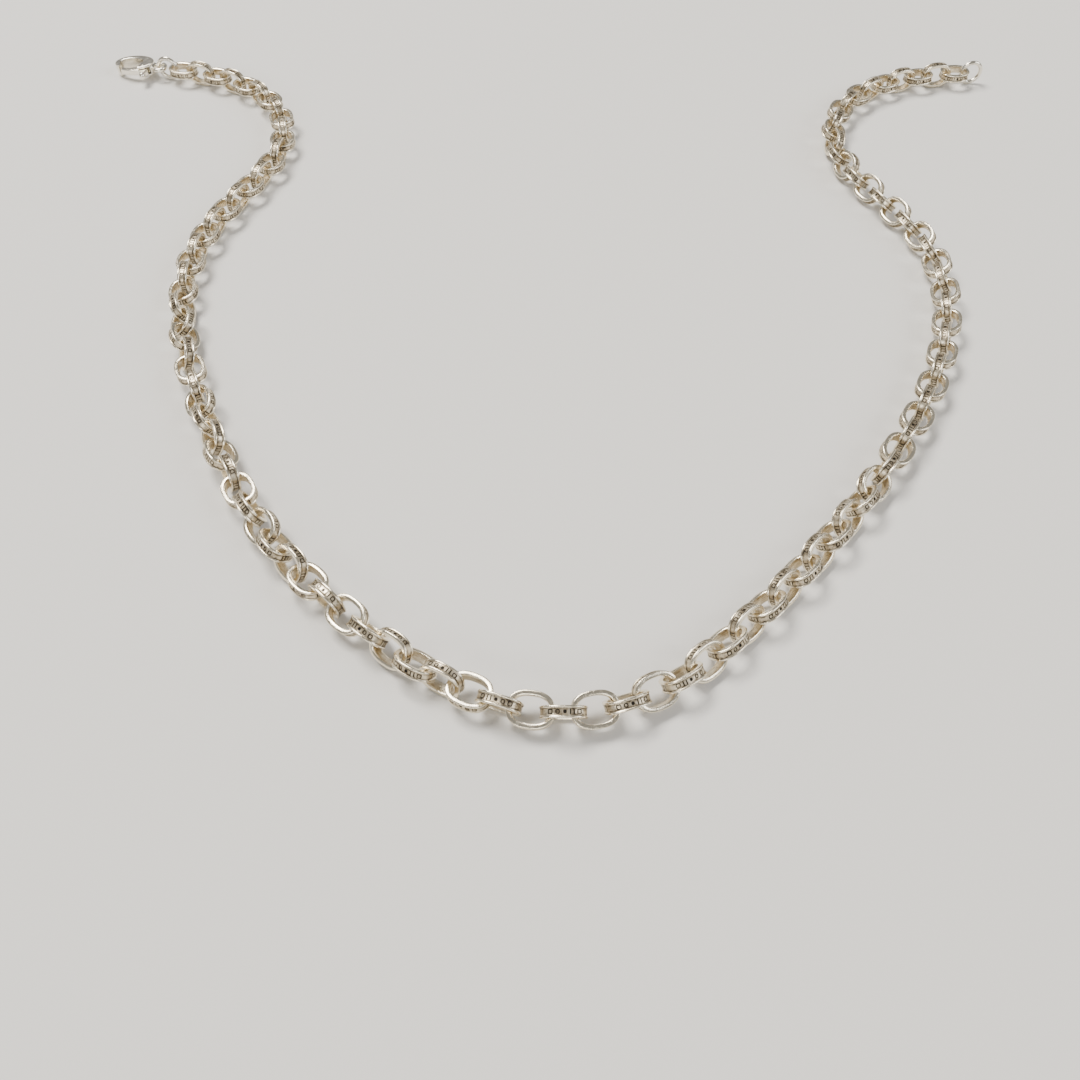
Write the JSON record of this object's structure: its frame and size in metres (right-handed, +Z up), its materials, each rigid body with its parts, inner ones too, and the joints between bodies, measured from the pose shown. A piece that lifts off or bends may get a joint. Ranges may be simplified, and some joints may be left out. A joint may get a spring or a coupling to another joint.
{
  "type": "chain necklace",
  "caption": "Oval-link cable chain necklace in darkened silver, laid open with a lobster clasp on one end and a ring on the other.",
  "frame": {"origin": "centre of the necklace's box, on the table that it rests on", "axes": "+Z up from the table; -Y towards the front of the necklace, the part that hangs lowest when worn; +X to the right as seen from the front"},
  "size_m": [0.2048, 0.1822, 0.0056],
  "materials": {
    "link_silver": "oxidised silver: polished rails and edges, brushed inner faces, darkened recessed channel",
    "clasp_silver": "polished silver with light handling scratches",
    "ring_silver": "polished round silver wire",
    "spring_steel": "plain spring steel"
  },
  "bodies": {
    "necklace_middle": {"links_middle": "link_silver"},
    "left_01": {"links_left_01": "link_silver"},
    "left_02": {"links_left_02": "link_silver"},
    "left_03": {"links_left_03": "link_silver"},
    "left_04": {"links_left_04": "link_silver"},
    "left_05": {"links_left_05": "link_silver"},
    "left_06": {"links_left_06": "link_silver"},
    "left_07": {"links_left_07": "link_silver"},
    "left_08": {"links_left_08": "link_silver"},
    "left_09": {"links_left_09": "link_silver"},
    "left_10": {"links_left_10": "link_silver"},
    "left_11": {"links_left_11": "link_silver"},
    "left_12": {"links_left_12": "link_silver"},
    "left_13": {"links_left_13": "link_silver"},
    "left_14": {"links_left_14": "link_silver"},
    "left_15": {"links_left_15": "link_silver"},
    "left_16": {"links_left_16": "link_silver"},
    "left_17": {"links_left_17": "link_silver"},
    "left_18": {"links_left_18": "link_silver"},
    "left_19": {"links_left_19": "link_silver"},
    "left_20": {"links_left_20": "link_silver"},
    "left_21": {"links_left_21": "link_silver"},
    "left_22": {"links_left_22": "link_silver"},
    "left_23": {"links_left_23": "link_silver"},
    "left_24": {"links_left_24": "link_silver"},
    "left_25": {"links_left_25": "link_silver"},
    "right_01": {"links_right_01": "link_silver"},
    "right_02": {"links_right_02": "link_silver"},
    "right_03": {"links_right_03": "link_silver"},
    "right_04": {"links_right_04": "link_silver"},
    "right_05": {"links_right_05": "link_silver"},
    "right_06": {"links_right_06": "link_silver"},
    "right_07": {"links_right_07": "link_silver"},
    "right_08": {"links_right_08": "link_silver"},
    "right_09": {"links_right_09": "link_silver"},
    "right_10": {"links_right_10": "link_silver"},
    "right_11": {"links_right_11": "link_silver"},
    "right_12": {"links_right_12": "link_silver"},
    "right_13": {"links_right_13": "link_silver"},
    "right_14": {"links_right_14": "link_silver"},
    "right_15": {"links_right_15": "link_silver"},
    "right_16": {"links_right_16": "link_silver"},
    "right_17": {"links_right_17": "link_silver"},
    "right_18": {"links_right_18": "link_silver"},
    "right_19": {"links_right_19": "link_silver"},
    "right_20": {"links_right_20": "link_silver"},
    "right_21": {"links_right_21": "link_silver"},
    "right_22": {"links_right_22": "link_silver"},
    "right_23": {"links_right_23": "link_silver"},
    "right_24": {"links_right_24": "link_silver"},
    "clasp_ring": {"clasp_ring": "ring_silver"},
    "clasp": {"clasp_body": "clasp_silver", "clasp_pin": "clasp_silver", "clasp_spring": "spring_steel"},
    "clasp_lever": {"clasp_lever": "clasp_silver"},
    "end_ring": {"end_ring": "ring_silver"}
  },
  "joints": [
    {"name": "clasp_lever_press", "type": "hinge", "parent": "clasp", "child": "clasp_lever", "pos_m": [-0.09485, 0.08554, 0.00223], "axis": [-0.1007, 0.0281, 0.9945], "range_deg": [-25, 0], "stiffness_Nm_per_rad": 0.0015, "springref_deg": 20.05},
    {"name": "clasp_swing", "type": "hinge", "parent": "clasp_ring", "child": "clasp", "pos_m": [-0.08908, 0.08549, 0.00282], "axis": [-0.269, -0.9631, 0], "range_deg": [-45, 45]},
    {"name": "clasp_ring_swing", "type": "hinge", "parent": "left_25", "child": "clasp_ring", "pos_m": [-0.08687, 0.08487, 0.00282], "axis": [0, 0, 1], "range_deg": [-40, 40]},
    {"name": "end_ring_swing", "type": "hinge", "parent": "right_24", "child": "end_ring", "pos_m": [0.09738, 0.08319, 0.00282], "axis": [0, 0, 1], "range_deg": [-40, 40]},
    {"name": "left_01_swing", "type": "hinge", "parent": "necklace_middle", "child": "left_01", "pos_m": [0.00475, -0.08874, 0.00279], "axis": [0.0502, -0.4842, 0.8735], "range_deg": [-30, 30]},
    {"name": "right_01_swing", "type": "hinge", "parent": "necklace_middle", "child": "right_01", "pos_m": [0.01194, -0.08667, 0.00273], "axis": [-0.3267, 0.7762, 0.5393], "range_deg": [-30, 30]},
    {"name": "left_02_swing", "type": "hinge", "parent": "left_01", "child": "left_02", "pos_m": [-0.00564, -0.08786, 0.00281], "axis": [0.2296, 0.906, 0.3555], "range_deg": [-30, 30]},
    {"name": "right_02_swing", "type": "hinge", "parent": "right_01", "child": "right_02", "pos_m": [0.02094, -0.08134, 0.0026], "axis": [0.4604, -0.6156, 0.6396], "range_deg": [-30, 30]},
    {"name": "left_03_swing", "type": "hinge", "parent": "left_02", "child": "left_03", "pos_m": [-0.01246, -0.08479, 0.00274], "axis": [0.0488, 0.0889, -0.9948], "range_deg": [-30, 30]},
    {"name": "right_03_swing", "type": "hinge", "parent": "right_02", "child": "right_03", "pos_m": [0.02636, -0.07616, 0.00277], "axis": [0.3922, -0.3922, -0.8321], "range_deg": [-30, 30]},
    {"name": "left_04_swing", "type": "hinge", "parent": "left_03", "child": "left_04", "pos_m": [-0.02138, -0.07926, 0.00278], "axis": [-0.4522, -0.6369, 0.6243], "range_deg": [-30, 30]},
    {"name": "right_04_swing", "type": "hinge", "parent": "right_03", "child": "right_04", "pos_m": [0.03379, -0.06875, 0.0028], "axis": [-0.6305, 0.6021, -0.4898], "range_deg": [-30, 30]},
    {"name": "left_05_swing", "type": "hinge", "parent": "left_04", "child": "left_05", "pos_m": [-0.02717, -0.0745, 0.0028], "axis": [0.5258, 0.6062, 0.5967], "range_deg": [-30, 30]},
    {"name": "right_05_swing", "type": "hinge", "parent": "right_04", "child": "right_05", "pos_m": [0.03883, -0.06319, 0.00279], "axis": [-0.3748, 0.33, 0.8664], "range_deg": [-30, 30]},
    {"name": "left_06_swing", "type": "hinge", "parent": "left_05", "child": "left_06", "pos_m": [-0.03485, -0.06735, 0.00272], "axis": [-0.0955, -0.0952, -0.9909], "range_deg": [-30, 30]},
    {"name": "right_06_swing", "type": "hinge", "parent": "right_05", "child": "right_06", "pos_m": [0.04561, -0.05517, 0.00276], "axis": [0.6616, -0.5319, 0.5285], "range_deg": [-30, 30]},
    {"name": "left_07_swing", "type": "hinge", "parent": "left_06", "child": "left_07", "pos_m": [-0.03991, -0.06182, 0.00279], "axis": [-0.7138, -0.5855, 0.3844], "range_deg": [-30, 30]},
    {"name": "right_07_swing", "type": "hinge", "parent": "right_06", "child": "right_07", "pos_m": [0.05023, -0.04927, 0.00261], "axis": [0.5391, -0.4007, -0.7408], "range_deg": [-30, 30]},
    {"name": "left_08_swing", "type": "hinge", "parent": "left_07", "child": "left_08", "pos_m": [-0.04612, -0.05335, 0.00278], "axis": [0.7643, 0.5123, 0.3916], "range_deg": [-30, 30]},
    {"name": "right_08_swing", "type": "hinge", "parent": "right_07", "child": "right_08", "pos_m": [0.05636, -0.04074, 0.00286], "axis": [-0.152, 0.1167, -0.9815], "range_deg": [-30, 30]},
    {"name": "left_09_swing", "type": "hinge", "parent": "left_08", "child": "left_09", "pos_m": [-0.05, -0.04694, 0.00273], "axis": [0.1241, 0.0721, -0.9896], "range_deg": [-30, 30]},
    {"name": "right_09_swing", "type": "hinge", "parent": "right_08", "child": "right_09", "pos_m": [0.06051, -0.03449, 0.0028], "axis": [-0.8448, 0.5205, 0.1243], "range_deg": [-30, 30]},
    {"name": "left_10_swing", "type": "hinge", "parent": "left_09", "child": "left_10", "pos_m": [-0.05498, -0.0377, 0.0028], "axis": [-0.7211, -0.3633, 0.59], "range_deg": [-30, 30]},
    {"name": "right_10_swing", "type": "hinge", "parent": "right_09", "child": "right_10", "pos_m": [0.06571, -0.02537, 0.00274], "axis": [0.0061, -0.0029, 1], "range_deg": [-30, 30]},
    {"name": "left_11_swing", "type": "hinge", "parent": "left_10", "child": "left_11", "pos_m": [-0.05814, -0.0309, 0.00277], "axis": [0.71, 0.3142, 0.6303], "range_deg": [-30, 30]},
    {"name": "right_11_swing", "type": "hinge", "parent": "right_10", "child": "right_11", "pos_m": [0.06891, -0.0186, 0.00278], "axis": [0.9219, -0.3827, 0.0609], "range_deg": [-30, 30]},
    {"name": "left_12_swing", "type": "hinge", "parent": "left_11", "child": "left_12", "pos_m": [-0.06215, -0.02119, 0.00275], "axis": [-0.0873, -0.0311, -0.9957], "range_deg": [-30, 30]},
    {"name": "right_12_swing", "type": "hinge", "parent": "right_11", "child": "right_12", "pos_m": [0.07246, -0.00872, 0.00285], "axis": [0.2639, -0.077, -0.9615], "range_deg": [-30, 30]},
    {"name": "left_13_swing", "type": "hinge", "parent": "left_12", "child": "left_13", "pos_m": [-0.06468, -0.01413, 0.00281], "axis": [-0.8967, -0.2779, 0.3444], "range_deg": [-30, 30]},
    {"name": "right_13_swing", "type": "hinge", "parent": "right_12", "child": "right_13", "pos_m": [0.07429, -0.00145, 0.00285], "axis": [-0.9255, 0.1561, -0.345], "range_deg": [-30, 30]},
    {"name": "left_14_swing", "type": "hinge", "parent": "left_13", "child": "left_14", "pos_m": [-0.06736, -0.00399, 0.00275], "axis": [0.8819, 0.1921, 0.4305], "range_deg": [-30, 30]},
    {"name": "right_14_swing", "type": "hinge", "parent": "right_13", "child": "right_14", "pos_m": [0.07525, 0.00899, 0.00279], "axis": [-0.5188, 0.0086, 0.8548], "range_deg": [-30, 30]},
    {"name": "left_15_swing", "type": "hinge", "parent": "left_14", "child": "left_15", "pos_m": [-0.06864, 0.0034, 0.00277], "axis": [0.1843, 0.0138, -0.9828], "range_deg": [-30, 30]},
    {"name": "right_15_swing", "type": "hinge", "parent": "right_14", "child": "right_15", "pos_m": [0.07464, 0.01646, 0.00271], "axis": [0.8017, 0.1747, 0.5717], "range_deg": [-30, 30]},
    {"name": "left_16_swing", "type": "hinge", "parent": "left_15", "child": "left_16", "pos_m": [-0.06868, 0.01389, 0.00272], "axis": [-0.9968, 0.0793, 0.0002], "range_deg": [-30, 30]},
    {"name": "right_16_swing", "type": "hinge", "parent": "right_15", "child": "right_16", "pos_m": [0.07132, 0.02639, 0.00258], "axis": [0.657, 0.2622, -0.7068], "range_deg": [-30, 30]},
    {"name": "left_17_swing", "type": "hinge", "parent": "left_16", "child": "left_17", "pos_m": [-0.06747, 0.02128, 0.00272], "axis": [0, 0, 1], "range_deg": [-30, 30]},
    {"name": "right_17_swing", "type": "hinge", "parent": "right_16", "child": "right_17", "pos_m": [0.0681, 0.03315, 0.00264], "axis": [-0.6042, -0.2716, -0.7491], "range_deg": [-30, 30]},
    {"name": "left_18_swing", "type": "hinge", "parent": "left_17", "child": "left_18", "pos_m": [-0.06403, 0.03119, 0.00272], "axis": [0.9325, -0.3612, 0], "range_deg": [-30, 30]},
    {"name": "right_18_swing", "type": "hinge", "parent": "right_17", "child": "right_18", "pos_m": [0.06382, 0.04272, 0.00276], "axis": [-0.8132, -0.2626, 0.5193], "range_deg": [-30, 30]},
    {"name": "left_19_swing", "type": "hinge", "parent": "left_18", "child": "left_19", "pos_m": [-0.06106, 0.03807, 0.00272], "axis": [0, 0, -1], "range_deg": [-30, 30]},
    {"name": "right_19_swing", "type": "hinge", "parent": "right_18", "child": "right_19", "pos_m": [0.06243, 0.05009, 0.00282], "axis": [0.4621, 0.0144, 0.8867], "range_deg": [-30, 30]},
    {"name": "left_20_swing", "type": "hinge", "parent": "left_19", "child": "left_20", "pos_m": [-0.05762, 0.04796, 0.00272], "axis": [-0.9807, 0.1953, 0], "range_deg": [-30, 30]},
    {"name": "right_20_swing", "type": "hinge", "parent": "right_19", "child": "right_20", "pos_m": [0.06349, 0.06048, 0.00285], "axis": [0.9219, -0.2422, -0.3022], "range_deg": [-30, 30]},
    {"name": "left_21_swing", "type": "hinge", "parent": "left_20", "child": "left_21", "pos_m": [-0.05725, 0.05543, 0.00272], "axis": [0, 0, 1], "range_deg": [-30, 30]},
    {"name": "right_21_swing", "type": "hinge", "parent": "right_20", "child": "right_21", "pos_m": [0.0665, 0.06733, 0.00284], "axis": [-0.2024, 0.1256, -0.9712], "range_deg": [-30, 30]},
    {"name": "left_22_swing", "type": "hinge", "parent": "left_21", "child": "left_22", "pos_m": [-0.05974, 0.06559, 0.00272], "axis": [0.9267, 0.3758, 0], "range_deg": [-30, 30]},
    {"name": "right_22_swing", "type": "hinge", "parent": "right_21", "child": "right_22", "pos_m": [0.07343, 0.07515, 0.00278], "axis": [-0.6459, 0.7606, 0.0649], "range_deg": [-30, 30]},
    {"name": "left_23_swing", "type": "hinge", "parent": "left_22", "child": "left_23", "pos_m": [-0.06351, 0.07205, 0.00272], "axis": [0, 0, -1], "range_deg": [-30, 30]},
    {"name": "right_23_swing", "type": "hinge", "parent": "right_22", "child": "right_23", "pos_m": [0.07976, 0.07915, 0.00272], "axis": [0.0044, -0.0005, 1], "range_deg": [-30, 30]},
    {"name": "left_24_swing", "type": "hinge", "parent": "left_23", "child": "left_24", "pos_m": [-0.07135, 0.07896, 0.00272], "axis": [-0.5601, -0.8284, 0], "range_deg": [-30, 30]},
    {"name": "right_24_swing", "type": "hinge", "parent": "right_23", "child": "right_24", "pos_m": [0.08974, 0.08233, 0.00272], "axis": [0.2117, -0.9773, 0], "range_deg": [-30, 30]},
    {"name": "left_25_swing", "type": "hinge", "parent": "left_24", "child": "left_25", "pos_m": [-0.07804, 0.08233, 0.00272], "axis": [0, 0, 1], "range_deg": [-30, 30]}
  ]
}
